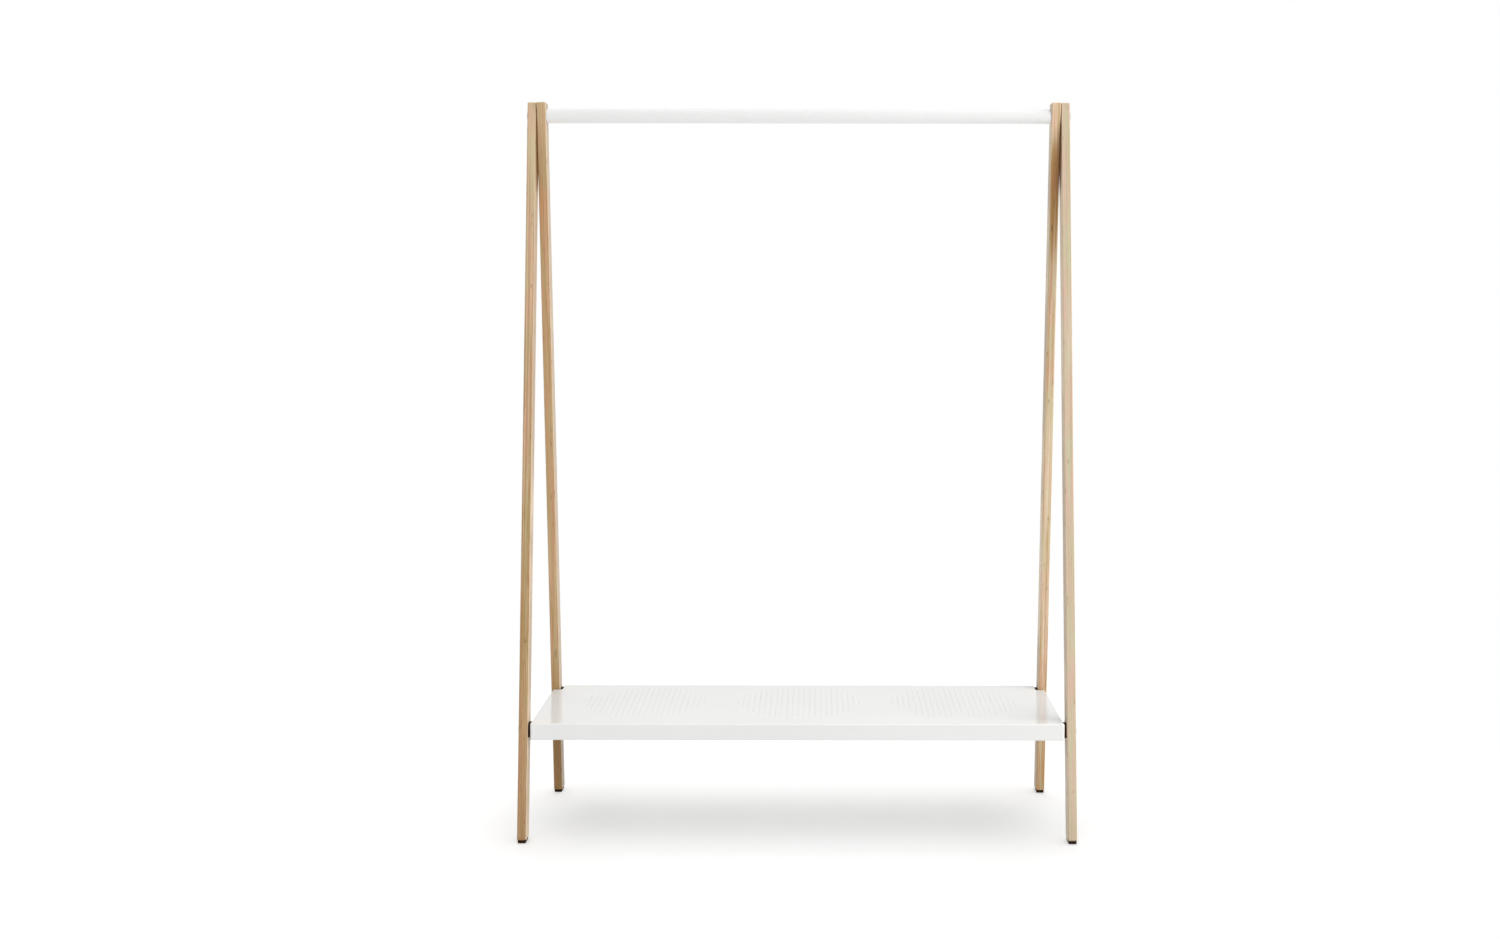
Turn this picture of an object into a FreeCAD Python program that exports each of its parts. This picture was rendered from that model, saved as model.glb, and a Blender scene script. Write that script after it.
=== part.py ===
import FreeCAD, Part
import math
import os

# Free-standing clothes rack: two crossed pairs of plywood legs, a steel hanging rail between their tops
# and a folded steel shelf that hooks over a stud on each leg.
# Millimetres, +Z up. The origin is on the floor under the middle of the rail, +X runs along the rail and
# the front of the rack faces -Y. Each pair's front leg is the outer one.

# Overall sizes, over the legs
RACK_WIDTH = 1200.0
RACK_HEIGHT = 1600.0
RACK_DEPTH = 415.0

# Legs
LEG_THICKNESS = 20.0
LEG_DEPTH = 38.0
LEG_CORNER_RADIUS = 4.0
LEG_EDGE_RADIUS = 2.5
FOOT_HEIGHT = 6.0
FOOT_INSET = 1.25
FOOT_CORNER_RADIUS = 3.0
FOOT_EDGE_RADIUS = 2.0
FOOT_STEM_DIAMETER = 6.0
FOOT_STEM_LENGTH = 14.0

# Pivot and hanging rail
PIVOT_DROP = 29.0
PIVOT_DIAMETER = 8.0
PIVOT_HEAD_DIAMETER = 26.0
PIVOT_HEAD_HEIGHT = 2.0
PIVOT_KEY = 5.0
PIVOT_ENGAGEMENT = 22.0
LEG_WASHER_DIAMETER = 24.0
LEG_WASHER_THICKNESS = 0.5
RAIL_DIAMETER = 32.0
RAIL_WALL = 1.5
RAIL_PLUG_LENGTH = 30.0
RAIL_WASHER_INSET = 1.0
RAIL_WASHER_THICKNESS = 0.5

# Shelf
SHELF_TOP = 253.0
SHELF_OVERHANG = 21.5
SHELF_APRON = 35.0
SHELF_SHEET = 1.5
SHELF_CORNER_INNER_RADIUS = 2.5
SHELF_BEND_INNER_RADIUS = 1.0

# Studs that the shelf hooks over, with their bolts and pads
STUD_DIAMETER = 10.0
STUD_HEAD_DIAMETER = 18.0
STUD_HEAD_THICKNESS = 3.0
STUD_BOLT_DIAMETER = 6.0
STUD_BOLT_HEAD_DIAMETER = 20.0
STUD_BOLT_HEAD_HEIGHT = 2.0
STUD_BOLT_KEY = 4.0
STUD_BOLT_ENGAGEMENT = 6.5
PAD_THICKNESS = 5.0
PAD_WIDTH = 26.0
PAD_SETBACK = 1.5
PAD_CORNER_RADIUS = 4.0

# Clearances
PIVOT_CLEARANCE = 0.1
FIXING_CLEARANCE = 0.2
SLIDING_CLEARANCE = 0.3
NOTCH_CLEARANCE = 1.0
SAME_PLACE = 0.001

# Shares of a bolt or stud head's height
KEY_DEPTH_SHARE = 0.75
HEAD_ROUNDING_SHARE = 0.35

# How the shelf leaves its studs: it lifts forward and up at this angle, while each rear leg closes by
# this many radians for each millimetre of lift
LIFT_ANGLE = math.radians(45.0)
CLOSING_RATE = 0.00032

FRONT = -1
REAR = 1

# The corners of a rectangle, in order round it
RECTANGLE = ((-1, -1), (1, -1), (1, 1), (-1, 1))

# Heights and places worked out from the sizes
pivot_height = RACK_HEIGHT - PIVOT_DROP
stud_height = SHELF_TOP - SHELF_APRON / 2
leg_reach = pivot_height - FOOT_HEIGHT
lean = math.acos(LEG_DEPTH / math.hypot(RACK_DEPTH, 2 * leg_reach)) - math.atan2(2 * leg_reach, RACK_DEPTH)
leg_half_level = LEG_DEPTH / 2 / math.cos(lean)
leg_outer = {FRONT: RACK_WIDTH / 2}
leg_outer[REAR] = leg_outer[FRONT] - LEG_THICKNESS - LEG_WASHER_THICKNESS
leg_inner = {row: leg_outer[row] - LEG_THICKNESS for row in (FRONT, REAR)}
shelf_edge = {row: leg_inner[row] - PAD_THICKNESS - SLIDING_CLEARANCE for row in (FRONT, REAR)}
stud_head_face = {row: shelf_edge[row] - SHELF_SHEET - SLIDING_CLEARANCE for row in (FRONT, REAR)}
rail_end = leg_inner[REAR] - RAIL_WASHER_THICKNESS


def at(x, y, z):
    """A point or direction of the rack."""
    return FreeCAD.Vector(x, y, z)


def leg_middle(height, row):
    """How far forward or back a leg's centre line is at a height."""
    return row * (pivot_height - height) * math.tan(lean)


stud_middle = {row: leg_middle(stud_height, row) for row in (FRONT, REAR)}
notch_front = leg_middle(SHELF_TOP, REAR) - leg_half_level - NOTCH_CLEARANCE
shelf_front = stud_middle[FRONT] - SHELF_OVERHANG
shelf_rear = stud_middle[REAR] + SHELF_OVERHANG


def rounded_wire(corners, radius):
    """A closed wire through the corners, with each of them rounded."""
    starts, tops, ends = [], [], []
    for i, corner in enumerate(corners):
        back = (corners[i - 1] - corner).normalize()
        ahead = (corners[(i + 1) % len(corners)] - corner).normalize()
        half_angle = back.getAngle(ahead) / 2
        inward = (back + ahead).normalize()
        starts.append(corner + back * (radius / math.tan(half_angle)))
        ends.append(corner + ahead * (radius / math.tan(half_angle)))
        tops.append(corner + inward * (radius / math.sin(half_angle) - radius))
    edges = []
    for i in range(len(corners)):
        edges.append(Part.Arc(starts[i], tops[i], ends[i]).toShape())
        edges.append(Part.LineSegment(ends[i], starts[(i + 1) % len(corners)]).toShape())
    return Part.Wire(edges)


def bar(diameter, start, end, row_y=0.0, height=None):
    """A round bar along X from start to end, on the pivot's axis unless told otherwise."""
    level = pivot_height if height is None else height
    return Part.makeCylinder(diameter / 2, end - start, at(start, row_y, level), at(1, 0, 0))


def stud_bar(diameter, start, end, row):
    """A round bar along X from start to end, on the axis of a row's shelf stud."""
    return bar(diameter, start, end, stud_middle[row], stud_height)


def hexagon(across_flats, start, end, y, height):
    """A hexagonal bar along X, for a key's socket."""
    radius = across_flats / math.sqrt(3)
    turns = [math.radians(60 * i) for i in range(7)]
    corners = [at(start, y + radius * math.cos(a), height + radius * math.sin(a)) for a in turns]
    return Part.Face(Part.makePolygon(corners)).extrude(at(end - start, 0, 0))


def rounded_end(shape, x, radius):
    """Rounds the round outer edge of a bar that ends at x."""
    level = [e for e in shape.Edges if e.BoundBox.XLength < SAME_PLACE]
    rim = [e for e in level if abs(e.BoundBox.XMin - x) < SAME_PLACE]
    widest = max(rim, key=lambda e: e.BoundBox.YLength)
    return shape.makeFillet(radius, [widest])


def headed_bolt(diameter, head_diameter, head_height, key, seat, end, y, height):
    """A bolt along X with a flat round head on the seat and a hexagon socket in the head."""
    crown = seat + head_height
    head = rounded_end(bar(head_diameter, seat, crown, y, height), crown, head_height * HEAD_ROUNDING_SHARE)
    socket = hexagon(key, crown - head_height * KEY_DEPTH_SHARE, crown, y, height)
    return head.fuse(bar(diameter, end, seat, y, height)).removeSplitter().cut(socket)


def leg(row):
    """A plywood leg, cut level at the top and bottom, with its bolt holes and the foot's hole."""
    corners = []
    for height, edges in ((FOOT_HEIGHT, (-1, 1)), (RACK_HEIGHT, (1, -1))):
        for edge in edges:
            corners.append(at(leg_inner[row], leg_middle(height, row) + edge * leg_half_level, height))
    blank = Part.Face(rounded_wire(corners, LEG_CORNER_RADIUS)).extrude(at(LEG_THICKNESS, 0, 0))
    rim = [e for e in blank.Edges if e.BoundBox.XLength < SAME_PLACE]
    blank = blank.makeFillet(LEG_EDGE_RADIUS, rim)
    pivot_hole = bar(PIVOT_DIAMETER + 2 * PIVOT_CLEARANCE, leg_inner[row], leg_outer[row])
    bolt_hole = stud_bar(STUD_BOLT_DIAMETER + 2 * FIXING_CLEARANCE, leg_inner[row], leg_outer[row], row)
    stem_hole = foot_stem(row, FIXING_CLEARANCE)
    return blank.cut(pivot_hole).cut(bolt_hole).cut(stem_hole)


def foot_stem(row, clearance=0.0):
    """The stem that holds a foot in the end of its leg."""
    base = at(leg_outer[row] - LEG_THICKNESS / 2, leg_middle(FOOT_HEIGHT, row), FOOT_HEIGHT)
    return Part.makeCylinder(FOOT_STEM_DIAMETER / 2 + clearance, FOOT_STEM_LENGTH + clearance, base)


def foot(row):
    """A dark glide under the end of a leg, drawn in from the leg's sides."""
    middle_x = leg_outer[row] - LEG_THICKNESS / 2
    middle_y = leg_middle(FOOT_HEIGHT, row)
    half_x = LEG_THICKNESS / 2 - FOOT_INSET
    half_y = leg_half_level - FOOT_INSET
    corners = [at(middle_x + i * half_x, middle_y + j * half_y, 0) for i, j in RECTANGLE]
    glide = Part.Face(rounded_wire(corners, FOOT_CORNER_RADIUS)).extrude(at(0, 0, FOOT_HEIGHT))
    sole = [e for e in glide.Edges if e.BoundBox.ZMax < SAME_PLACE]
    return glide.makeFillet(FOOT_EDGE_RADIUS, sole).fuse(foot_stem(row))


def pivot_bolt():
    """The bolt that clamps a pair of legs to the rail and lets the rear leg turn."""
    return headed_bolt(PIVOT_DIAMETER, PIVOT_HEAD_DIAMETER, PIVOT_HEAD_HEIGHT, PIVOT_KEY,
                       leg_outer[FRONT], rail_end - PIVOT_ENGAGEMENT, 0.0, pivot_height)


def washer(diameter, start, thickness):
    """A washer on the pivot bolt."""
    hole = bar(PIVOT_DIAMETER + 2 * PIVOT_CLEARANCE, start, start + thickness)
    return bar(diameter, start, start + thickness).cut(hole)


def rail_plug():
    """The threaded plug in an end of the rail."""
    start = rail_end - RAIL_PLUG_LENGTH
    body = bar(RAIL_DIAMETER - 2 * RAIL_WALL - 2 * PIVOT_CLEARANCE, start, rail_end)
    return body.cut(bar(PIVOT_DIAMETER + 2 * PIVOT_CLEARANCE, start, rail_end))


def hanging_rail():
    """The tube that the hangers go on."""
    tube = bar(RAIL_DIAMETER, -rail_end, rail_end)
    return tube.cut(bar(RAIL_DIAMETER - 2 * RAIL_WALL, -rail_end, rail_end))


def shelf_bolt(row):
    """The bolt through a leg that holds a shelf stud."""
    return headed_bolt(STUD_BOLT_DIAMETER, STUD_BOLT_HEAD_DIAMETER, STUD_BOLT_HEAD_HEIGHT, STUD_BOLT_KEY,
                       leg_outer[row], leg_inner[row] - STUD_BOLT_ENGAGEMENT, stud_middle[row], stud_height)


def shelf_stud(row):
    """The headed stud on a leg's inner face that the shelf hooks over."""
    inner_end = stud_head_face[row] - STUD_HEAD_THICKNESS
    head = stud_bar(STUD_HEAD_DIAMETER, inner_end, stud_head_face[row], row)
    head = rounded_end(head, inner_end, STUD_HEAD_THICKNESS * HEAD_ROUNDING_SHARE)
    shoulder = stud_bar(STUD_DIAMETER, stud_head_face[row], leg_inner[row], row)
    thread_end = leg_inner[row] - STUD_BOLT_ENGAGEMENT - FIXING_CLEARANCE
    thread = stud_bar(STUD_BOLT_DIAMETER + 2 * FIXING_CLEARANCE, thread_end, leg_inner[row], row)
    return head.fuse(shoulder).removeSplitter().cut(thread)


def pad(row):
    """The dark rubber pad between a leg and the shelf, in line with the leg."""
    face = leg_inner[row] - PAD_THICKNESS
    half_width = PAD_WIDTH / 2
    half_height = SHELF_APRON / 2 - PAD_SETBACK
    middle = stud_middle[row]
    corners = [at(face, middle + i * half_width, stud_height + j * half_height) for i, j in RECTANGLE]
    plate = Part.Face(rounded_wire(corners, PAD_CORNER_RADIUS)).extrude(at(PAD_THICKNESS, 0, 0))
    plate.rotate(at(0, middle, stud_height), at(1, 0, 0), row * math.degrees(lean))
    hole = stud_bar(STUD_DIAMETER + 2 * FIXING_CLEARANCE, face, leg_inner[row], row)
    return plate.cut(hole)


def stud_slot(row):
    """The slot in the shelf's flange over a stud, open at the flange's bottom edge."""
    way = at(0, math.cos(LIFT_ANGLE), -math.sin(LIFT_ANGLE))
    if row == REAR:
        way += at(0, stud_height - pivot_height, -stud_middle[REAR]) * CLOSING_RATE
    way.normalize()
    spare = SHELF_SHEET
    start_x = shelf_edge[row] - SHELF_SHEET - spare
    width = SHELF_SHEET + 2 * spare
    reach = 2 * SHELF_APRON
    half = STUD_DIAMETER / 2 + SLIDING_CLEARANCE
    seat = at(start_x, stud_middle[row], stud_height)
    across = at(0, -way.z, way.y) * half
    out = way * reach
    corners = [seat - across, seat - across + out, seat + across + out, seat + across, seat - across]
    throat = Part.Face(Part.makePolygon(corners)).extrude(at(width, 0, 0))
    return throat.fuse(stud_bar(2 * half, start_x, start_x + width, row))


def shelf():
    """The folded steel shelf: a down-turned apron, rear corners notched round the legs, and stud slots."""
    base = SHELF_TOP - SHELF_APRON
    wide, narrow = shelf_edge[FRONT], shelf_edge[REAR]
    plan = [(-wide, shelf_front), (wide, shelf_front), (wide, notch_front), (narrow, notch_front),
            (narrow, shelf_rear), (-narrow, shelf_rear), (-narrow, notch_front), (-wide, notch_front)]
    corner_radius = SHELF_CORNER_INNER_RADIUS + SHELF_SHEET
    outline = Part.Face(rounded_wire([at(x, y, base) for x, y in plan], corner_radius))
    pan = outline.extrude(at(0, 0, SHELF_APRON))
    top_edges = [e for e in pan.Edges if e.BoundBox.ZMin > SHELF_TOP - SAME_PLACE]
    pan = pan.makeFillet(SHELF_BEND_INNER_RADIUS + SHELF_SHEET, top_edges)
    hollow = outline.makeOffset2D(-SHELF_SHEET).extrude(at(0, 0, SHELF_APRON - SHELF_SHEET))
    under_edges = [e for e in hollow.Edges if e.BoundBox.ZMin > SHELF_TOP - SHELF_SHEET - SAME_PLACE]
    pan = pan.cut(hollow.makeFillet(SHELF_BEND_INNER_RADIUS, under_edges))
    for row in (FRONT, REAR):
        slot = stud_slot(row)
        pan = pan.cut(slot).cut(mirrored(slot))
    return pan


def mirrored(shape):
    """The same shape on the rack's left side."""
    return shape.mirror(at(0, 0, 0), at(1, 0, 0))


def save(shape, name):
    """Writes one piece of the rack."""
    if not shape.isValid() or shape.Volume <= 0:
        print("check", name, shape.isValid(), shape.Volume)
    shape.exportStep(f"parts/{name}.step")


right_pieces = {
    "pivot_bolt": pivot_bolt(),
    "leg_washer": washer(LEG_WASHER_DIAMETER, leg_outer[REAR], LEG_WASHER_THICKNESS),
    "rail_washer": washer(RAIL_DIAMETER - 2 * RAIL_WASHER_INSET, rail_end, RAIL_WASHER_THICKNESS),
    "rail_plug": rail_plug(),
}
for row, row_name in ((FRONT, "front"), (REAR, "rear")):
    right_pieces[f"{row_name}_leg"] = leg(row)
    right_pieces[f"{row_name}_foot"] = foot(row)
    right_pieces[f"{row_name}_shelf_bolt"] = shelf_bolt(row)
    right_pieces[f"{row_name}_shelf_stud"] = shelf_stud(row)
    right_pieces[f"{row_name}_shelf_pad"] = pad(row)

os.makedirs("parts", exist_ok=True)
save(hanging_rail(), "hanging_rail")
save(shelf(), "shelf")
for piece_name, piece in right_pieces.items():
    save(piece, f"right_{piece_name}")
    save(mirrored(piece), f"left_{piece_name}")
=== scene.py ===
import math

import bmesh
import bpy
from mathutils import Matrix, Vector


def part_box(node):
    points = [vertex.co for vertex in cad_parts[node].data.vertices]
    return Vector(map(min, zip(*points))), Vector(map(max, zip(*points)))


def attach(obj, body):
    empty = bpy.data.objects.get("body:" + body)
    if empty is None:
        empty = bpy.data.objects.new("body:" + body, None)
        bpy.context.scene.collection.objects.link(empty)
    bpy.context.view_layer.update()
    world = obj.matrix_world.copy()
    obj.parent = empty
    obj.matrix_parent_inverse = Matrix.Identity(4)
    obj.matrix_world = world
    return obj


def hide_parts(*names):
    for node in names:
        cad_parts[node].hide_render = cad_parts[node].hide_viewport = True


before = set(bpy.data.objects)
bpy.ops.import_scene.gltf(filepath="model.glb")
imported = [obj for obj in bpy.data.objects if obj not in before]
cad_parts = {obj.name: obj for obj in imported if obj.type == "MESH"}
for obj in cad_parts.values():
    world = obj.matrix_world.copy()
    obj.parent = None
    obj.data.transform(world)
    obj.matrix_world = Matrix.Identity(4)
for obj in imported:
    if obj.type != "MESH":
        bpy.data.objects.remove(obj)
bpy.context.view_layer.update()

# A clothes rack: crossed plywood legs, a white steel hanging rail and a white perforated steel shelf.
# Metres, +Z up, the front of the rack faces -Y. Places come from the solids of the rack.

# Legs
PLIES = 11
LEG_THICKNESS = 0.020
LEG_DEPTH = 0.038
FOOT_HEIGHT = 0.006

# Waves of noise in a metre: across the plies, across the leg's depth and along the leg
FIBRE_WAVES = (1500.0, 1500.0, 14.0)
PORE_WAVES = (900.0, 260.0, 1400.0)
BAND_WAVES = (210.0, 12.0, 1.3)
HUE_WAVES = (60.0, 15.0, 7.0)
DRIFT_WAVES = (20.0, 30.0, 1.7)
VESSEL_WAVES = (300.0, 2400.0, 32.0)
KNOT_WAVES = (190.0, 190.0, 36.0)
RUB_WAVES = (90.0, 90.0, 35.0)
PLY_WANDER_WAVES = 2.5
PLY_TONE_WAVES = 3.2
RING_WAVES = 150.0
TURNING_WAVES = 5200.0

# Levels of noise at which an effect starts and is full
RUB_LEVELS = (0.38, 0.66)
CLOUD_LEVELS = (0.25, 0.75)
DUST_LEVELS = (0.64, 0.76)
PLY_TONE_LEVELS = (0.28, 0.72)
STREAK_LEVELS = (0.30, 0.75)
BAND_LEVELS = (0.40, 0.62)
HUE_LEVELS = (0.36, 0.64)
VESSEL_LEVELS = (0.42, 0.70)
KNOT_LEVELS = (0.67, 0.77)

# Factors that keep one noise in a leg from repeating another
PLY_STEP = 3.71
PLY_SEED = 0.37
BAND_SEED = 2.3
HUE_SEED = 5.1
KNOT_SEED = 1.7

# Places in a ply or growth ring where an effect starts and is full, as shares from its middle
GLUE_PLACES = (0.42, 0.50)
RING_PLACES = (0.18, 0.50)

# How many rings the growth rings drift by, and how far inside the faces the count of plies is kept
RING_DRIFT = 11.0
PLY_MARGIN = 0.01

# Places on a leg where an effect starts and is full: along it from the pivot, in from a face, or out from
# the corner that the other leg makes
HEAD_FULL = -0.10
HEAD_FADE = -0.08
FOOT_FADE = 0.25
TIP_PLACES = (-0.20, -0.03)
# The crossing, corner and skin places bound the painted shade beside the crossing leg
CROSSING_PLACES = (-0.19, -0.15)
CORNER_PLACES = (0.045, 0.010)
SKIN_PLACES = (0.0020, 0.0005)
VENEER_PLACES = (0.0012, 0.0002)

# Shares in the tone of the plies and in the figure of the veneer
STREAK_SHARE = 0.30
CROSSBAND_SHARE = 0.24
OUTER_SHARE = 0.30
VESSEL_SHARE = 0.40
RING_SHARE = 0.50

# Colours of marks and wear, and of the painted shade beside a crossing leg
WARM_WOOD = (1.09, 0.94, 0.96, 1.0)
GREEN_WOOD = (0.96, 1.035, 0.93, 1.0)
GLUE_BROWN = (0.20, 0.115, 0.055, 1.0)
PAINTED_CROSSING_SHADE = (0.19, 0.085, 0.018, 1.0)
KNOT_BROWN = (0.17, 0.085, 0.035, 1.0)
RUBBED_WOOD = (0.80, 0.68, 0.52, 1.0)
LACQUER_DUST = (0.62, 0.60, 0.56, 1.0)
BARE_STEEL = (0.46, 0.45, 0.43, 1.0)
SCUFFED_RUBBER = (0.12, 0.085, 0.06, 1.0)
BRIGHT_PLATE = (0.66, 0.66, 0.66, 1.0)
DULL_PLATE = (0.52, 0.53, 0.55, 1.0)
PLATE_DUST = (0.34, 0.33, 0.32, 1.0)

# Perforated shelf
FIELD_COUNT = 3
FIELD_DIAMETER = 0.286
FIELD_SPACING = 0.350
FIELD_SETBACK = 0.018
HOLE_DIAMETER = 0.0034
HOLE_PITCH = 0.0144
HOLE_SIDES = 12
CUT_DEPTH = 0.008
WELD_DISTANCE = 1e-6
SHEET_SMOOTHING = math.radians(35.0)

# Studio
FLOOR_SIDES = 64
FLOOR_DROP = 0.0004
BOUNCE_PAINT = 0.90
SHELF_SHADOW_SHAPE = (0.4, 1.0, 0.0)
SHELF_SHADOW_PLACES = (0.22, 0.60)
SKYLIGHT_PLACE = (0.0, 0.0, 4.0)

# Camera, from the photograph's frame
PHOTO_WIDTH = 1500
PHOTO_HEIGHT = 939
FOCAL_PIXELS = 1687.95
AXIS_COLUMN = 816.28
AXIS_ROW = 371.77
CAMERA_PLACE = (0.04504, -3.77184, 1.16774)
CAMERA_YAW = -0.00114
CAMERA_PITCH = 0.04398
CAMERA_ROLL = 0.00122
SENSOR_WIDTH = 36.0


def middle(node):
    """The middle of a solid's box."""
    low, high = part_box(node)
    return (low + high) / 2


pivot = middle("hanging_rail")


# Small helpers for node trees

def wire(tree, value, socket):
    """Joins another node's output to a socket, or sets the socket to a plain value."""
    if isinstance(value, bpy.types.NodeSocket):
        tree.links.new(value, socket)
    else:
        socket.default_value = value


def sum_of(tree, operation, *values, clamp=False):
    """The result of one Math node."""
    step = tree.nodes.new("ShaderNodeMath")
    step.operation = operation
    step.use_clamp = clamp
    for value, socket in zip(values, step.inputs):
        wire(tree, value, socket)
    return step.outputs[0]


def added(tree, base, *effects):
    """A value plus effects, each times its amount."""
    for effect, amount in effects:
        base = sum_of(tree, "MULTIPLY_ADD", effect, amount, base)
    return base


def hypotenuse(tree, first, second):
    """The long side over two square sides."""
    squares = [sum_of(tree, "MULTIPLY", side, side) for side in (first, second)]
    return sum_of(tree, "SQRT", sum_of(tree, "ADD", *squares))


def from_half(tree, value):
    """How far a value is from the half between two whole numbers."""
    return sum_of(tree, "ABSOLUTE", sum_of(tree, "SUBTRACT", sum_of(tree, "FRACT", value), 0.5))


def ramped(tree, value, start, end, low=0.0, high=1.0):
    """A value eased from low at the start to high at the end."""
    step = tree.nodes.new("ShaderNodeMapRange")
    step.interpolation_type = "SMOOTHSTEP"
    for given, socket in zip((value, start, end, low, high), step.inputs):
        wire(tree, given, socket)
    return step.outputs[0]


def blended(tree, share, first, second, way="MIX"):
    """Two colours mixed by a share."""
    step = tree.nodes.new("ShaderNodeMix")
    step.data_type = "RGBA"
    step.blend_type = way
    for given, socket in zip((share, first, second), (step.inputs[0], step.inputs[6], step.inputs[7])):
        wire(tree, given, socket)
    return step.outputs[2]


def stained(tree, colour, effect, share, stain):
    """A colour mixed with a stain by a share of an effect."""
    return blended(tree, sum_of(tree, "MULTIPLY", effect, share), colour, stain)


def between(tree, share, first, second):
    """Two numbers mixed by a share."""
    step = tree.nodes.new("ShaderNodeMix")
    for given, socket in zip((share, first, second), (step.inputs[0], step.inputs[2], step.inputs[3])):
        wire(tree, given, socket)
    return step.outputs[0]


def split(tree, vector):
    """The X, Y and Z of a vector."""
    step = tree.nodes.new("ShaderNodeSeparateXYZ")
    wire(tree, vector, step.inputs[0])
    return step.outputs[0], step.outputs[1], step.outputs[2]


def joined(tree, x, y, z):
    """A vector from its X, Y and Z."""
    step = tree.nodes.new("ShaderNodeCombineXYZ")
    for given, socket in zip((x, y, z), step.inputs):
        wire(tree, given, socket)
    return step.outputs[0]


def stretched(tree, vector, scales, shift=0.0):
    """A vector times a scale for each axis, moved by the same shift on all three."""
    step = tree.nodes.new("ShaderNodeVectorMath")
    step.operation = "MULTIPLY_ADD"
    wire(tree, vector, step.inputs[0])
    wire(tree, scales, step.inputs[1])
    wire(tree, joined(tree, shift, shift, shift), step.inputs[2])
    return step.outputs[0]


def noise(tree, vector, detail=2.0, rough=0.5):
    """Smooth noise at one unit of the vector."""
    step = tree.nodes.new("ShaderNodeTexNoise")
    wire(tree, vector, step.inputs["Vector"])
    wire(tree, 1.0, step.inputs["Scale"])
    wire(tree, detail, step.inputs["Detail"])
    wire(tree, rough, step.inputs["Roughness"])
    return step.outputs["Fac"]


SOCKETS = {"vector": "NodeSocketVector", "number": "NodeSocketFloat", "colour": "NodeSocketColor"}


def shader_group(name, inputs, outputs):
    """A new shader group with its named inputs and outputs."""
    tree = bpy.data.node_groups.new(name, "ShaderNodeTree")
    for socket_name, kind in inputs:
        tree.interface.new_socket(name=socket_name, in_out="INPUT", socket_type=SOCKETS[kind])
    for socket_name, kind in outputs:
        tree.interface.new_socket(name=socket_name, in_out="OUTPUT", socket_type=SOCKETS[kind])
    return tree, tree.nodes.new("NodeGroupInput").outputs, tree.nodes.new("NodeGroupOutput").inputs


def placed(tree, group, **values):
    """A group placed in a tree with its own values; a value's name has _ for a space."""
    step = tree.nodes.new("ShaderNodeGroup")
    step.node_tree = group
    for name, value in values.items():
        wire(tree, value, step.inputs[name.replace("_", " ")])
    return step.outputs


# Effects that several finishes share

def make_edge_rub():
    """Where an edge is rubbed: a broken line that fades away from the edge."""
    tree, given, made = shader_group(
        "edge rub",
        [("Vector", "vector"), ("Distance", "number"), ("Width", "number")],
        [("Mask", "number")],
    )
    line = ramped(tree, given["Distance"], given["Width"], 0.0)
    patches = noise(tree, stretched(tree, given["Vector"], RUB_WAVES), detail=3.0, rough=0.6)
    wire(tree, sum_of(tree, "MULTIPLY", line, ramped(tree, patches, *RUB_LEVELS)), made["Mask"])
    return tree


def make_soft_mottle():
    """Slow clouds, fine grain and sparse specks of dust."""
    tree, given, made = shader_group(
        "soft mottle",
        [("Vector", "vector"), ("Cloud Scale", "number"), ("Grain Scale", "number"), ("Seed", "number")],
        [("Clouds", "number"), ("Grain", "number"), ("Dust", "number")],
    )

    def at_scale(scale, detail):
        scales = joined(tree, scale, scale, scale)
        return noise(tree, stretched(tree, given["Vector"], scales, given["Seed"]), detail, rough=0.55)

    wire(tree, ramped(tree, at_scale(given["Cloud Scale"], detail=3.0), *CLOUD_LEVELS), made["Clouds"])
    wire(tree, at_scale(given["Grain Scale"], detail=2.0), made["Grain"])
    half_grain = sum_of(tree, "MULTIPLY", given["Grain Scale"], 0.5)
    wire(tree, ramped(tree, at_scale(half_grain, detail=4.0), *DUST_LEVELS), made["Dust"])
    return tree


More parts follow.
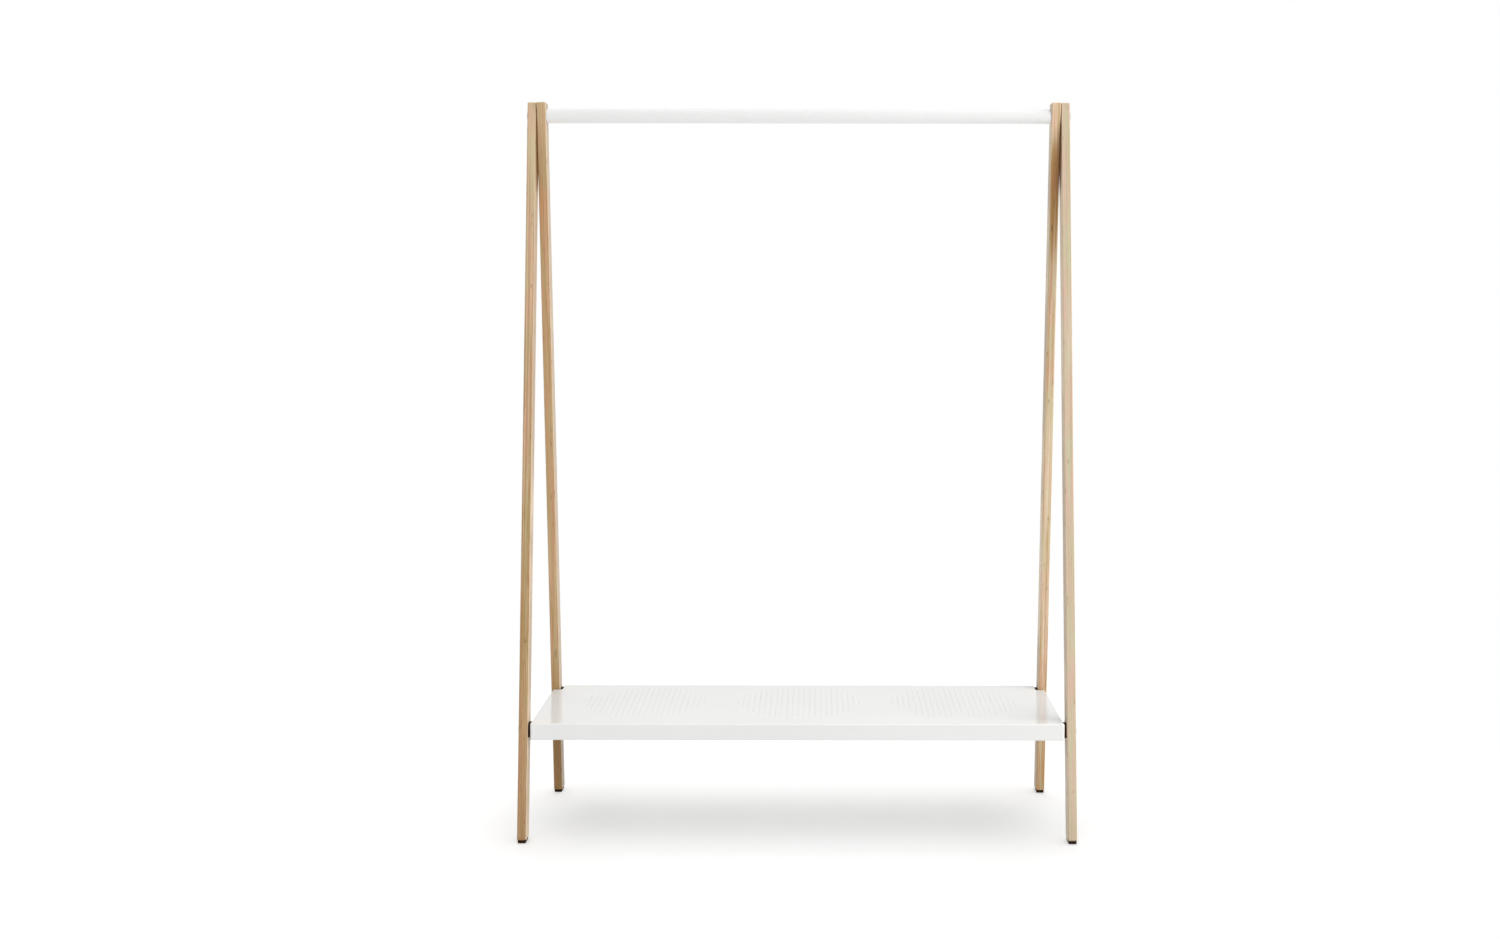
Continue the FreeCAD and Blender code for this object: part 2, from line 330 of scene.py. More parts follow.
def make_plywood(edge_rub):
    """Plywood from any side: plies across X, veneer on the two outer plies and fibres along Z."""
    tree, given, made = shader_group(
        "plywood",
        [
            ("Vector", "vector"), ("Thickness", "number"), ("Depth", "number"), ("Plies", "number"),
            ("Pale Edge", "colour"), ("Brown Edge", "colour"), ("Band", "colour"), ("Veneer", "colour"),
            ("Veneer Grain", "colour"), ("Head Tone", "number"), ("Head Reach", "number"),
            ("Head Start", "number"), ("Foot Tone", "number"), ("Foot Start", "number"),
            ("Tip Pale", "number"), ("Crossing", "number"), ("Crossing Slope", "number"), ("Seed", "number"),
        ],
        [("Color", "colour"), ("Roughness", "number"), ("Specular", "number"), ("Height", "number")],
    )
    place, seed = given["Vector"], given["Seed"]
    across, depth, along = split(tree, place)

    # Which ply a point is in, and the glue lines between plies
    wander = noise(tree, joined(tree, seed, seed, sum_of(tree, "MULTIPLY", along, PLY_WANDER_WAVES)))
    half = sum_of(tree, "MULTIPLY", given["Thickness"], 0.5)
    share = sum_of(tree, "DIVIDE", sum_of(tree, "ADD", across, half), given["Thickness"])
    layer = sum_of(tree, "MULTIPLY_ADD", share, given["Plies"], sum_of(tree, "SUBTRACT", wander, 0.5))
    layer = sum_of(tree, "MINIMUM", layer, sum_of(tree, "SUBTRACT", given["Plies"], PLY_MARGIN))
    layer = sum_of(tree, "MAXIMUM", layer, PLY_MARGIN)
    number = sum_of(tree, "FLOOR", layer)
    crossband = sum_of(tree, "MODULO", number, 2.0)
    last = sum_of(tree, "SUBTRACT", given["Plies"], 1.5)
    outer = sum_of(tree, "MAXIMUM", sum_of(tree, "LESS_THAN", number, 0.5),
                   sum_of(tree, "GREATER_THAN", number, last))
    glue = ramped(tree, from_half(tree, layer), *GLUE_PLACES)

    # Edges of the plies: from pale to brown with the ply, the place along the leg and the streaks
    ply_place = joined(tree, sum_of(tree, "MULTIPLY_ADD", number, PLY_STEP, seed),
                       sum_of(tree, "MULTIPLY", along, PLY_TONE_WAVES),
                       sum_of(tree, "MULTIPLY", seed, PLY_SEED))
    tone = ramped(tree, noise(tree, ply_place, detail=4.0, rough=0.6), *PLY_TONE_LEVELS)
    # Head and foot tones: partly the wood's tone, partly painted shade (a painted shadow of the crossing leg
    # below a head, painted shade under the shelf towards a foot)
    head_end = sum_of(tree, "MULTIPLY", given["Head Reach"], -1.0)
    from_start = sum_of(tree, "ADD", along, given["Head Start"])
    head = sum_of(tree, "MULTIPLY", ramped(tree, along, head_end, HEAD_FULL),
                  ramped(tree, from_start, 0.0, HEAD_FADE))
    head = sum_of(tree, "MULTIPLY", head, given["Head Tone"])
    below = sum_of(tree, "SUBTRACT", sum_of(tree, "MULTIPLY", along, -1.0), given["Foot Start"])
    foot = sum_of(tree, "MULTIPLY", ramped(tree, below, 0.0, FOOT_FADE), given["Foot Tone"])
    ends_tone_and_shade = sum_of(tree, "ADD", head, foot)
    tone = sum_of(tree, "ADD", tone, ends_tone_and_shade)
    fibre = noise(tree, stretched(tree, place, FIBRE_WAVES, seed), detail=3.0, rough=0.6)
    pore = noise(tree, stretched(tree, place, PORE_WAVES, seed), rough=0.6)
    streak = ramped(tree, between(tree, crossband, fibre, pore), *STREAK_LEVELS)
    tone = sum_of(tree, "ADD", tone, sum_of(tree, "MULTIPLY_ADD", streak, STREAK_SHARE, -STREAK_SHARE / 2))
    tone = sum_of(tree, "MULTIPLY_ADD", crossband, CROSSBAND_SHARE, tone)
    tone = sum_of(tree, "MULTIPLY_ADD", outer, OUTER_SHARE, tone, clamp=True)
    edge = blended(tree, tone, given["Pale Edge"], given["Brown Edge"])

    # Long bands, browner ends, a pale tip and slow changes of hue on those edges; the browner ends are partly
    # wood tone and partly painted shade
    band_place = stretched(tree, place, BAND_WAVES, sum_of(tree, "MULTIPLY", seed, BAND_SEED))
    band = ramped(tree, noise(tree, band_place, detail=1.0), *BAND_LEVELS)
    edge = stained(tree, edge, band, share=0.75, stain=given["Band"])
    edge = stained(tree, edge, ends_tone_and_shade, share=0.8, stain=given["Brown Edge"])
    tip = ramped(tree, along, *TIP_PLACES)
    edge = stained(tree, edge, tip, share=given["Tip Pale"], stain=given["Pale Edge"])
    hue_place = stretched(tree, place, HUE_WAVES, sum_of(tree, "MULTIPLY", seed, HUE_SEED))
    hue = ramped(tree, noise(tree, hue_place, detail=5.0, rough=0.68), *HUE_LEVELS)
    warmth = blended(tree, hue, WARM_WOOD, GREEN_WOOD)
    edge = blended(tree, 1.0, edge, warmth, "MULTIPLY")

    # Veneer on the two faces, with growth rings and vessels
    drift = noise(tree, stretched(tree, place, DRIFT_WAVES, seed))
    ring = sum_of(tree, "MULTIPLY_ADD", drift, RING_DRIFT, sum_of(tree, "MULTIPLY", depth, RING_WAVES))
    ring = ramped(tree, from_half(tree, ring), *RING_PLACES)
    vessel = noise(tree, stretched(tree, place, VESSEL_WAVES, seed), detail=3.0, rough=0.6)
    vessel = ramped(tree, vessel, *VESSEL_LEVELS)
    figure = sum_of(tree, "MULTIPLY", ring, RING_SHARE)
    figure = sum_of(tree, "MULTIPLY_ADD", vessel, VESSEL_SHARE, figure, clamp=True)
    veneer = blended(tree, figure, given["Veneer"], given["Veneer Grain"])
    reach_x = sum_of(tree, "SUBTRACT", half, sum_of(tree, "ABSOLUTE", across))
    wood = blended(tree, ramped(tree, reach_x, *VENEER_PLACES), edge, veneer)
    wood = stained(tree, wood, glue, share=0.42, stain=GLUE_BROWN)

    # Painted shade: a leg is darker and less glossy beside the leg that it crosses, in the corner between
    # them
    half_depth = sum_of(tree, "MULTIPLY", given["Depth"], 0.5)
    corner = sum_of(tree, "MULTIPLY", along, sum_of(tree, "MULTIPLY", given["Crossing Slope"], -1.0))
    to_corner = sum_of(tree, "SUBTRACT", sum_of(tree, "SUBTRACT", corner, half_depth), depth)
    shade = ramped(tree, to_corner, *CORNER_PLACES)
    shade = sum_of(tree, "MULTIPLY", shade, ramped(tree, along, *CROSSING_PLACES))
    facing = sum_of(tree, "MULTIPLY", across, given["Crossing"])
    to_face = sum_of(tree, "SUBTRACT", half, facing)
    shade = sum_of(tree, "MULTIPLY", shade, ramped(tree, to_face, *SKIN_PLACES))
    wood = stained(tree, wood, shade, share=0.9, stain=PAINTED_CROSSING_SHADE)

    # Knots, and edges that are rubbed pale
    knot_place = stretched(tree, place, KNOT_WAVES, sum_of(tree, "MULTIPLY", seed, KNOT_SEED))
    knots = ramped(tree, noise(tree, knot_place, detail=1.0), *KNOT_LEVELS)
    wood = stained(tree, wood, knots, share=0.5, stain=KNOT_BROWN)
    reach_y = sum_of(tree, "SUBTRACT", half_depth, sum_of(tree, "ABSOLUTE", depth))
    to_edge = sum_of(tree, "MAXIMUM", reach_x, reach_y)
    rub = placed(tree, edge_rub, Vector=place, Distance=to_edge, Width=0.0035)["Mask"]
    wood = stained(tree, wood, rub, share=0.30, stain=RUBBED_WOOD)

    roughness = added(tree, 0.44, (streak, 0.16), (rub, -0.10))
    face_vessel = sum_of(tree, "MULTIPLY", vessel, outer)
    relief = added(tree, 1.0, (streak, -0.45), (face_vessel, -0.35), (glue, -0.35))
    wire(tree, wood, made["Color"])
    wire(tree, roughness, made["Roughness"])
    # Less gloss in the painted shade beside the crossing leg
    wire(tree, added(tree, 0.5, (shade, -0.5)), made["Specular"])
    wire(tree, relief, made["Height"])
    return tree


edge_rub = make_edge_rub()
soft_mottle = make_soft_mottle()
plywood = make_plywood(edge_rub)


# Finishes

def new_finish(name, location=(0.0, 0.0, 0.0), turn=0.0):
    """A material with its shader, and Object coordinates centred and turned about X for one piece."""
    finish = bpy.data.materials.new(name)
    finish.use_nodes = True
    tree = finish.node_tree
    coordinates = tree.nodes.new("ShaderNodeTexCoord").outputs["Object"]
    mapping = tree.nodes.new("ShaderNodeMapping")
    mapping.vector_type = "TEXTURE"
    wire(tree, coordinates, mapping.inputs["Vector"])
    mapping.inputs["Location"].default_value = location
    mapping.inputs["Rotation"].default_value = (turn, 0.0, 0.0)
    return finish, tree, tree.nodes["Principled BSDF"].inputs, mapping.outputs[0]


def raise_relief(tree, shader, height, strength, distance):
    """Feeds a height to the shader as bump."""
    bump = tree.nodes.new("ShaderNodeBump")
    bump.inputs["Strength"].default_value = strength
    bump.inputs["Distance"].default_value = distance
    wire(tree, height, bump.inputs["Height"])
    wire(tree, bump.outputs[0], shader["Normal"])


def rubbed_near(tree, place, height, width):
    """Where a finish is rubbed near one height."""
    to_edge = sum_of(tree, "ABSOLUTE", sum_of(tree, "SUBTRACT", split(tree, place)[2], height))
    return placed(tree, edge_rub, Vector=place, Distance=to_edge, Width=width)["Mask"]


def leg_wood(name, leg, foot, pale, brown, band, veneer, grain, head_tone_and_shadow, head_reach, head_start,
             foot_tone_and_shade, foot_start, tip_pale, crossing, seed):
    """The plywood of one leg, with its plies in line with the leg."""
    lean = math.atan2(middle(foot).y, pivot.z - FOOT_HEIGHT)
    finish, tree, shader, place = new_finish(name, (middle(leg).x, 0.0, pivot.z), lean)
    look = placed(tree, plywood, Vector=place, Thickness=LEG_THICKNESS, Depth=LEG_DEPTH, Plies=float(PLIES),
                  Pale_Edge=pale, Brown_Edge=brown, Band=band, Veneer=veneer, Veneer_Grain=grain,
                  Head_Tone=head_tone_and_shadow, Head_Reach=head_reach, Head_Start=head_start,
                  Foot_Tone=foot_tone_and_shade, Foot_Start=foot_start, Tip_Pale=tip_pale,
                  Crossing=crossing, Crossing_Slope=math.tan(2 * abs(lean)), Seed=seed)
    wire(tree, look["Color"], shader["Base Color"])
    wire(tree, look["Roughness"], shader["Roughness"])
    wire(tree, look["Specular"], shader["Specular IOR Level"])
    raise_relief(tree, shader, look["Height"], strength=0.35, distance=0.00025)
    return finish


def white_lacquer(name, tint, shade, gloss, worn_height, worn_share, seed):
    """Sprayed white lacquer on steel: faint clouds, orange peel, dust, and light wear at one height."""
    finish, tree, shader, place = new_finish(name)
    mottle = placed(tree, soft_mottle, Vector=place, Cloud_Scale=5.0, Grain_Scale=620.0, Seed=seed)
    colour = blended(tree, mottle["Clouds"], tint, shade)
    colour = stained(tree, colour, mottle["Dust"], share=0.10, stain=LACQUER_DUST)
    rub = rubbed_near(tree, place, worn_height, width=0.0020)
    colour = stained(tree, colour, rub, share=worn_share, stain=BARE_STEEL)
    roughness = added(tree, gloss, (mottle["Clouds"], 0.06), (mottle["Dust"], 0.12), (rub, 0.15))
    wire(tree, colour, shader["Base Color"])
    wire(tree, roughness, shader["Roughness"])
    shader["IOR"].default_value = 1.39
    raise_relief(tree, shader, mottle["Grain"], strength=0.05, distance=0.0002)
    return finish


def dark_rubber(name, black, dusty, wear_height, seed):
    """Moulded dark rubber: fine grain, a dusty bloom and scuffs near one height."""
    finish, tree, shader, place = new_finish(name)
    mottle = placed(tree, soft_mottle, Vector=place, Cloud_Scale=70.0, Grain_Scale=1800.0, Seed=seed)
    colour = stained(tree, black, mottle["Clouds"], share=0.6, stain=dusty)
    rub = rubbed_near(tree, place, wear_height, width=0.0030)
    colour = stained(tree, colour, rub, share=0.45, stain=SCUFFED_RUBBER)
    roughness = added(tree, 0.62, (mottle["Clouds"], 0.14), (mottle["Dust"], 0.10))
    wire(tree, colour, shader["Base Color"])
    wire(tree, roughness, shader["Roughness"])
    shader["Specular IOR Level"].default_value = 0.06
    raise_relief(tree, shader, mottle["Grain"], strength=0.25, distance=0.0002)
    return finish


def plated_steel(name, axis, seed):
    """Zinc-plated turned steel: rings round the bolt's axis, cloudy plating and specks of dust."""
    finish, tree, shader, place = new_finish(name, (0.0, axis.y, axis.z))
    _, y, z = split(tree, place)
    ring_place = joined(tree, sum_of(tree, "MULTIPLY", hypotenuse(tree, y, z), TURNING_WAVES), seed, 0.0)
    rings = noise(tree, ring_place, detail=3.0, rough=0.6)
    mottle = placed(tree, soft_mottle, Vector=place, Cloud_Scale=160.0, Grain_Scale=2400.0, Seed=seed)
    colour = blended(tree, mottle["Clouds"], BRIGHT_PLATE, DULL_PLATE)
    colour = stained(tree, colour, mottle["Dust"], share=0.4, stain=PLATE_DUST)
    roughness = added(tree, 0.20, (rings, 0.20), (mottle["Dust"], 0.15))
    wire(tree, colour, shader["Base Color"])
    wire(tree, roughness, shader["Roughness"])
    shader["Metallic"].default_value = 1.0
    raise_relief(tree, shader, rings, strength=0.12, distance=0.0001)
    return finish


def wear(node, finish):
    """Gives a solid its finish."""
    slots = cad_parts[node].data.materials
    slots.clear()
    slots.append(finish)


# Each leg's colours are partly its own tone and partly painted light: the left legs browner and the right
# legs paler where the light falls from the right, the right legs' veneer paler as painted light on their
# inner faces, the right rear head tone a painted shadow of the front leg, and the left rear foot tone painted
# shade under the shelf
LEG_LOOKS = {
    "left_front": dict(
        pale=(0.69, 0.54, 0.36, 1.0), brown=(0.38, 0.22, 0.085, 1.0), band=(0.45, 0.28, 0.16, 1.0),
        veneer=(0.80, 0.64, 0.46, 1.0), grain=(0.64, 0.47, 0.31, 1.0),
        head_tone_and_shadow=-0.7, head_reach=0.70, head_start=0.0, foot_tone_and_shade=0.25, foot_start=0.95,
        tip_pale=0.8, crossing=1.0, seed=3.1,
    ),
    "left_rear": dict(
        pale=(0.65, 0.485, 0.305, 1.0), brown=(0.40, 0.225, 0.08, 1.0), band=(0.53, 0.345, 0.18, 1.0),
        veneer=(0.88, 0.73, 0.54, 1.0), grain=(0.70, 0.54, 0.37, 1.0),
        head_tone_and_shadow=0.0, head_reach=0.30, head_start=0.0, foot_tone_and_shade=1.0, foot_start=1.22,
        tip_pale=0.4, crossing=0.0, seed=11.7,
    ),
    "right_front": dict(
        pale=(0.66, 0.62, 0.475, 1.0), brown=(0.525, 0.415, 0.275, 1.0), band=(0.64, 0.51, 0.39, 1.0),
        veneer=(0.93, 0.79, 0.61, 1.0), grain=(0.80, 0.63, 0.45, 1.0),
        head_tone_and_shadow=0.1, head_reach=0.60, head_start=0.0, foot_tone_and_shade=0.05, foot_start=1.25,
        tip_pale=0.0, crossing=-1.0, seed=23.4,
    ),
    "right_rear": dict(
        pale=(0.86, 0.765, 0.61, 1.0), brown=(0.49, 0.27, 0.09, 1.0), band=(0.73, 0.61, 0.44, 1.0),
        veneer=(0.93, 0.78, 0.58, 1.0), grain=(0.80, 0.62, 0.42, 1.0),
        head_tone_and_shadow=1.1, head_reach=0.34, head_start=0.03, foot_tone_and_shade=0.15, foot_start=1.25,
        tip_pale=0.0, crossing=0.0, seed=37.9,
    ),
}
for leg_name, leg_look in LEG_LOOKS.items():
    leg = f"{leg_name}_leg"
    wear(leg, leg_wood(f"{leg_name} plywood", leg, f"{leg_name}_foot", **leg_look))

apron_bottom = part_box("shelf")[0].z
rail_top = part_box("hanging_rail")[1].z
shelf_lacquer = white_lacquer(
    "shelf lacquer", tint=(0.865, 0.868, 0.852, 1.0), shade=(0.84, 0.843, 0.828, 1.0), gloss=0.08,
    worn_height=apron_bottom, worn_share=0.35, seed=5.0,
)
rail_lacquer = white_lacquer(
    "rail lacquer", tint=(0.868, 0.868, 0.863, 1.0), shade=(0.852, 0.852, 0.847, 1.0), gloss=0.42,
    worn_height=rail_top, worn_share=0.06, seed=8.0,
)
foot_rubber = dark_rubber(
    "foot rubber", black=(0.024, 0.012, 0.006, 1.0), dusty=(0.050, 0.028, 0.015, 1.0),
    wear_height=0.0, seed=2.0,
)
pad_rubber = dark_rubber(
    "pad rubber", black=(0.030, 0.014, 0.006, 1.0), dusty=(0.052, 0.028, 0.014, 1.0),
    wear_height=apron_bottom, seed=4.0,
)
washer_fibre = dark_rubber(
    "washer fibre", black=(0.034, 0.020, 0.012, 1.0), dusty=(0.080, 0.055, 0.038, 1.0),
    wear_height=pivot.z, seed=6.0,
)
pivot_steel = plated_steel("pivot steel", axis=pivot, seed=1.0)

wear("hanging_rail", rail_lacquer)
for side in ("left", "right"):
    wear(f"{side}_pivot_bolt", pivot_steel)
    wear(f"{side}_rail_plug", pivot_steel)
    wear(f"{side}_leg_washer", washer_fibre)
    wear(f"{side}_rail_washer", washer_fibre)
for row in ("front", "rear"):
    stud_steel = plated_steel(f"{row} stud steel", axis=middle(f"right_{row}_shelf_stud"), seed=2.0)
    for side in ("left", "right"):
        wear(f"{side}_{row}_foot", foot_rubber)
        wear(f"{side}_{row}_shelf_pad", pad_rubber)
        wear(f"{side}_{row}_shelf_bolt", stud_steel)
        wear(f"{side}_{row}_shelf_stud", stud_steel)


# Perforated shelf

def make_perforation():
    """Round fields of staggered holes, cut through the shelf's sheet."""
    tree = bpy.data.node_groups.new("shelf perforation", "GeometryNodeTree")
    sizes = ("Field Diameter", "Field Spacing", "Field Setback", "Hole Diameter", "Hole Pitch", "Sheet Top",
             "Cut Depth")
    tree.interface.new_socket(name="Geometry", in_out="INPUT", socket_type="NodeSocketGeometry")
    for name in sizes:
        tree.interface.new_socket(name=name, in_out="INPUT", socket_type="NodeSocketFloat")
    tree.interface.new_socket(name="Lacquer", in_out="INPUT", socket_type="NodeSocketMaterial")
    tree.interface.new_socket(name="Geometry", in_out="OUTPUT", socket_type="NodeSocketGeometry")
    given = tree.nodes.new("NodeGroupInput").outputs
    made = tree.nodes.new("NodeGroupOutput").inputs

    def count_to(length, step):
        return sum_of(tree, "FLOOR", sum_of(tree, "DIVIDE", length, step))

    # A grid of points, with every other column moved by half a pitch
    reach = sum_of(tree, "MULTIPLY", given["Field Diameter"], 0.5)
    pitch = given["Hole Pitch"]
    column_pitch = sum_of(tree, "MULTIPLY", pitch, math.sqrt(3) / 2)
    columns = sum_of(tree, "MULTIPLY", count_to(reach, column_pitch), 2.0)
    rows = sum_of(tree, "MULTIPLY", count_to(reach, pitch), 2.0)
    grid = tree.nodes.new("GeometryNodeMeshGrid")
    wire(tree, sum_of(tree, "MULTIPLY", columns, column_pitch), grid.inputs["Size X"])
    wire(tree, sum_of(tree, "MULTIPLY", rows, pitch), grid.inputs["Size Y"])
    for count, socket in ((columns, "Vertices X"), (rows, "Vertices Y")):
        whole = tree.nodes.new("FunctionNodeFloatToInt")
        wire(tree, sum_of(tree, "ADD", count, 1.0), whole.inputs[0])
        wire(tree, whole.outputs[0], grid.inputs[socket])
    place = tree.nodes.new("GeometryNodeInputPosition").outputs[0]
    x, y, _ = split(tree, place)
    column = sum_of(tree, "ROUND", sum_of(tree, "DIVIDE", x, column_pitch))
    odd = sum_of(tree, "ABSOLUTE", sum_of(tree, "MODULO", column, 2.0))
    shift = sum_of(tree, "MULTIPLY", odd, sum_of(tree, "MULTIPLY", pitch, 0.5))
    stagger = tree.nodes.new("GeometryNodeSetPosition")
    wire(tree, grid.outputs["Mesh"], stagger.inputs["Geometry"])
    wire(tree, joined(tree, 0.0, shift, 0.0), stagger.inputs["Offset"])

    # The points inside one round field, with a punch on each
    half_hole = sum_of(tree, "MULTIPLY", given["Hole Diameter"], 0.5)
    furthest = sum_of(tree, "SUBTRACT", reach, half_hole)
    trim = tree.nodes.new("GeometryNodeDeleteGeometry")
    wire(tree, stagger.outputs[0], trim.inputs["Geometry"])
    wire(tree, sum_of(tree, "GREATER_THAN", hypotenuse(tree, x, y), furthest), trim.inputs["Selection"])
    punch = tree.nodes.new("GeometryNodeMeshCylinder")
    punch.inputs["Vertices"].default_value = HOLE_SIDES
    wire(tree, half_hole, punch.inputs["Radius"])
    wire(tree, given["Cut Depth"], punch.inputs["Depth"])
    field = tree.nodes.new("GeometryNodeInstanceOnPoints")
    wire(tree, trim.outputs[0], field.inputs["Points"])
    wire(tree, punch.outputs["Mesh"], field.inputs["Instance"])

    # The fields in a row along the shelf
    line = tree.nodes.new("GeometryNodeMeshLine")
    line.inputs["Count"].default_value = FIELD_COUNT
    first = sum_of(tree, "MULTIPLY", given["Field Spacing"], -(FIELD_COUNT - 1) / 2)
    start = joined(tree, first, given["Field Setback"], given["Sheet Top"])
    wire(tree, start, line.inputs["Start Location"])
    wire(tree, joined(tree, given["Field Spacing"], 0.0, 0.0), line.inputs["Offset"])
    fields = tree.nodes.new("GeometryNodeInstanceOnPoints")
    wire(tree, line.outputs["Mesh"], fields.inputs["Points"])
    wire(tree, field.outputs[0], fields.inputs["Instance"])
    punches = tree.nodes.new("GeometryNodeRealizeInstances")
    wire(tree, fields.outputs[0], punches.inputs[0])

    # The cut
    cut = tree.nodes.new("GeometryNodeMeshBoolean")
    cut.operation = "DIFFERENCE"
    cut.solver = "EXACT"
    wire(tree, given["Geometry"], cut.inputs["Mesh 1"])
    wire(tree, punches.outputs[0], cut.inputs["Mesh 2"])
    whole_shelf = tree.nodes.new("GeometryNodeRealizeInstances")
    wire(tree, cut.outputs["Mesh"], whole_shelf.inputs[0])
    painted = tree.nodes.new("GeometryNodeSetMaterial")
    wire(tree, whole_shelf.outputs[0], painted.inputs["Geometry"])
    wire(tree, given["Lacquer"], painted.inputs["Material"])
    wire(tree, painted.outputs[0], made["Geometry"])
    return tree


def set_inputs(modifier, values):
    """Sets a tree's named inputs on its modifier."""
    for item in modifier.node_group.interface.items_tree:
        if item.item_type == "SOCKET" and item.in_out == "INPUT" and item.name in values:
            modifier[item.identifier] = values[item.name]


def plain_mesh(piece, name):
    """A plain mesh of a piece with its modifiers worked in."""
    graph = bpy.context.evaluated_depsgraph_get()
    mesh = bpy.data.meshes.new_from_object(piece.evaluated_get(graph), depsgraph=graph)
    mesh.name = name
    return mesh


def perforated_shelf():
    """The folded shelf with its fields of holes."""
    sheet = bmesh.new()
    sheet.from_mesh(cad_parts["shelf"].data)
    bmesh.ops.remove_doubles(sheet, verts=sheet.verts, dist=WELD_DISTANCE)
    mesh = bpy.data.meshes.new("folded sheet")
    sheet.to_mesh(mesh)
    sheet.free()
    piece = bpy.data.objects.new("perforated_shelf", mesh)
    bpy.context.scene.collection.objects.link(piece)
    holes = piece.modifiers.new("perforation", "NODES")
    holes.node_group = make_perforation()
    set_inputs(holes, {
        "Field Diameter": FIELD_DIAMETER, "Field Spacing": FIELD_SPACING, "Field Setback": FIELD_SETBACK,
        "Hole Diameter": HOLE_DIAMETER, "Hole Pitch": HOLE_PITCH, "Sheet Top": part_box("shelf")[1].z,
        "Cut Depth": CUT_DEPTH, "Lacquer": shelf_lacquer,
    })
    cut = plain_mesh(piece, "perforated sheet")
    piece.modifiers.clear()
    piece.data = cut
    cut.polygons.foreach_set("use_smooth", [True] * len(cut.polygons))
    cut.set_sharp_from_angle(angle=SHEET_SMOOTHING)
    flats = piece.modifiers.new("flats", "WEIGHTED_NORMAL")
    flats.mode = "FACE_AREA"
    flats.weight = 100
    flats.keep_sharp = True
    smoothed = plain_mesh(piece, "perforated sheet smoothed")
    piece.modifiers.clear()
    piece.data = smoothed
    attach(piece, "shelf")
    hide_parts("shelf")


perforated_shelf()


# Studio

def seen_directly(tree):
    """One for rays that show the background: from the camera, off gloss and through glass."""
    rays = tree.nodes.new("ShaderNodeLightPath").outputs
    seen = sum_of(tree, "MAXIMUM", rays["Is Camera Ray"], rays["Is Glossy Ray"])
    return sum_of(tree, "MAXIMUM", seen, rays["Is Transmission Ray"])


def white_world(level):
    """A white backdrop for what the camera sees, and soft light from all round at a lower level."""
    world = bpy.data.worlds.new("studio")
    bpy.context.scene.world = world
    world.use_nodes = True
    tree = world.node_tree
    background = tree.nodes["Background"]
    background.inputs["Color"].default_value = (1.0, 1.0, 1.0, 1.0)
    wire(tree, between(tree, seen_directly(tree), level, 1.0), background.inputs["Strength"])


def studio_floor(radius, shade, glow, bounce, fade_start, fade_end):
    """A pale floor that keeps the rack's shadow, fades to the white backdrop and glows as painted bounce
    light.
    """
    sheet = bmesh.new()
    bmesh.ops.create_circle(sheet, cap_ends=True, segments=FLOOR_SIDES, radius=radius)
    mesh = bpy.data.meshes.new("floor")
    sheet.to_mesh(mesh)
    sheet.free()
    mesh.transform(Matrix.Translation((0.0, 0.0, -FLOOR_DROP)))
    floor = bpy.data.objects.new("floor", mesh)
    bpy.context.scene.collection.objects.link(floor)
    finish = bpy.data.materials.new("studio floor")
    finish.use_nodes = True
    tree = finish.node_tree
    tree.nodes.remove(tree.nodes["Principled BSDF"])

    def lit_paint(grey, strength):
        paint = tree.nodes.new("ShaderNodeBsdfDiffuse")
        paint.inputs["Color"].default_value = (grey, grey, grey, 1.0)
        light = tree.nodes.new("ShaderNodeEmission")
        wire(tree, strength, light.inputs["Strength"])
        both = tree.nodes.new("ShaderNodeAddShader")
        wire(tree, paint.outputs[0], both.inputs[0])
        wire(tree, light.outputs[0], both.inputs[1])
        return both.outputs[0]

    white = tree.nodes.new("ShaderNodeEmission")
    white.inputs["Strength"].default_value = 1.0
    place = tree.nodes.new("ShaderNodeTexCoord").outputs["Object"]

    def distance(scales):
        length = tree.nodes.new("ShaderNodeVectorMath")
        length.operation = "LENGTH"
        wire(tree, stretched(tree, place, scales), length.inputs[0])
        return length.outputs["Value"]

    away = distance((1.0, 1.0, 0.0))
    # To other rays than the camera's the floor glows as painted bounce light, faded out under the shelf as a
    # painted shadow
    clear_of_shelf = ramped(tree, distance(SHELF_SHADOW_SHAPE), *SHELF_SHADOW_PLACES, 0.0, bounce)
    shown = tree.nodes.new("ShaderNodeMixShader")
    wire(tree, ramped(tree, away, fade_start, fade_end), shown.inputs[0])
    wire(tree, lit_paint(shade, glow), shown.inputs[1])
    wire(tree, white.outputs[0], shown.inputs[2])
    either = tree.nodes.new("ShaderNodeMixShader")
    wire(tree, seen_directly(tree), either.inputs[0])
    wire(tree, lit_paint(BOUNCE_PAINT, clear_of_shelf), either.inputs[1])
    wire(tree, shown.outputs[0], either.inputs[2])
    wire(tree, either.outputs[0], tree.nodes["Material Output"].inputs["Surface"])
    mesh.materials.append(finish)
    return floor


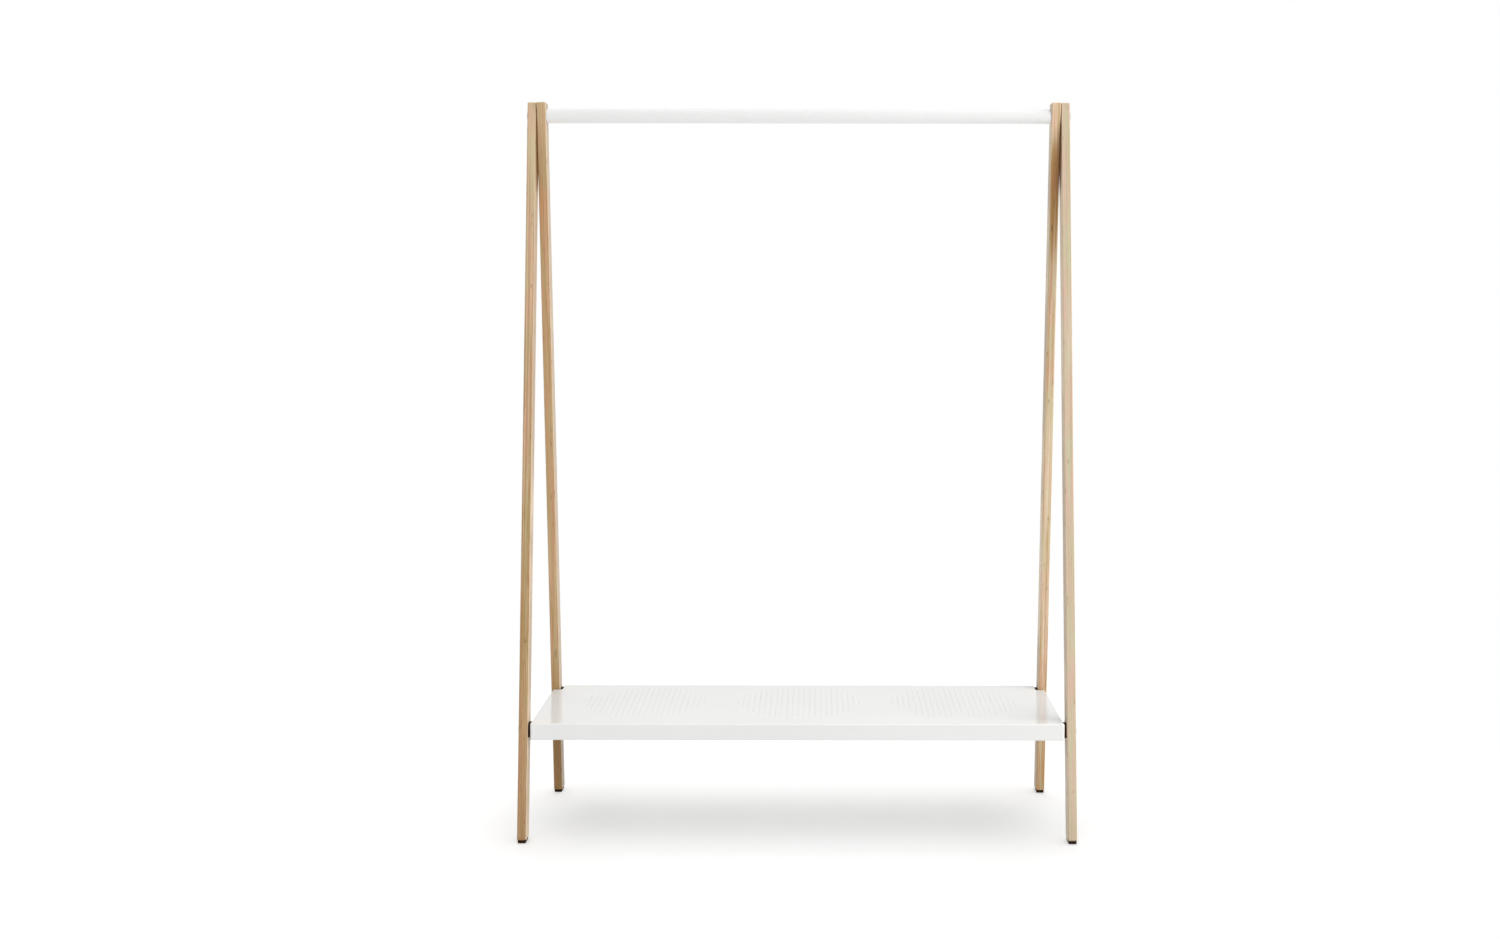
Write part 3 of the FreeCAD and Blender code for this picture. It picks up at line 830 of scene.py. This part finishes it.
def softbox(name, place, target, width, height, watts, unlit):
    """A soft rectangular light aimed at a point, not mirrored in gloss, that leaves one piece unlit."""
    lamp = bpy.data.lights.new(name, "AREA")
    lamp.shape = "RECTANGLE"
    lamp.size = width
    lamp.size_y = height
    lamp.energy = watts
    piece = bpy.data.objects.new(name, lamp)
    bpy.context.scene.collection.objects.link(piece)
    piece.location = place
    aim = Vector(target) - Vector(place)
    piece.rotation_euler = aim.to_track_quat("-Z", "Y").to_euler()
    piece.visible_glossy = False
    kept_out = bpy.data.collections.new(f"{name} receivers")
    kept_out.objects.link(unlit)
    kept_out.collection_objects[0].light_linking.link_state = "EXCLUDE"
    piece.light_linking.receiver_collection = kept_out


def skylight(name, spread, level, turn):
    """Even light from overhead, as soft as its spread is wide, turned about X and Y."""
    lamp = bpy.data.lights.new(name, "SUN")
    lamp.angle = math.radians(spread)
    lamp.energy = level * math.pi
    piece = bpy.data.objects.new(name, lamp)
    bpy.context.scene.collection.objects.link(piece)
    piece.location = SKYLIGHT_PLACE
    piece.rotation_euler = (math.radians(turn[0]), math.radians(turn[1]), 0.0)


def photo_camera():
    """The camera at the photograph's place and angle."""
    lens = bpy.data.cameras.new("camera")
    lens.sensor_fit = "HORIZONTAL"
    lens.sensor_width = SENSOR_WIDTH
    lens.lens = FOCAL_PIXELS * SENSOR_WIDTH / PHOTO_WIDTH
    lens.shift_x = ((PHOTO_WIDTH - 1) / 2 - AXIS_COLUMN) / PHOTO_WIDTH
    lens.shift_y = (AXIS_ROW - (PHOTO_HEIGHT - 1) / 2) / PHOTO_WIDTH
    camera = bpy.data.objects.new("camera", lens)
    bpy.context.scene.collection.objects.link(camera)
    turn = Matrix.Rotation(-CAMERA_YAW, 4, "Z")
    tilt = Matrix.Rotation(math.pi / 2 - CAMERA_PITCH, 4, "X")
    roll = Matrix.Rotation(CAMERA_ROLL, 4, "Z")
    camera.matrix_world = Matrix.Translation(CAMERA_PLACE) @ turn @ tilt @ roll
    bpy.context.scene.camera = camera


white_world(level=0.22)
floor_piece = studio_floor(radius=7.0, shade=0.98, glow=0.378, bounce=0.42, fade_start=1.3, fade_end=2.2)
skylight("overhead light", spread=74.0, level=0.39, turn=(0.0, 4.0))
skylight("ceiling light", spread=50.0, level=0.09, turn=(-38.0, 0.0))
softbox("right softbox", place=(4.17, -3.50, 3.4), target=(0.0, 0.0, 0.9), width=7.5, height=4.6, watts=318.0,
        unlit=floor_piece)
photo_camera()

view_settings = bpy.context.scene.view_settings
view_settings.view_transform = "Standard"
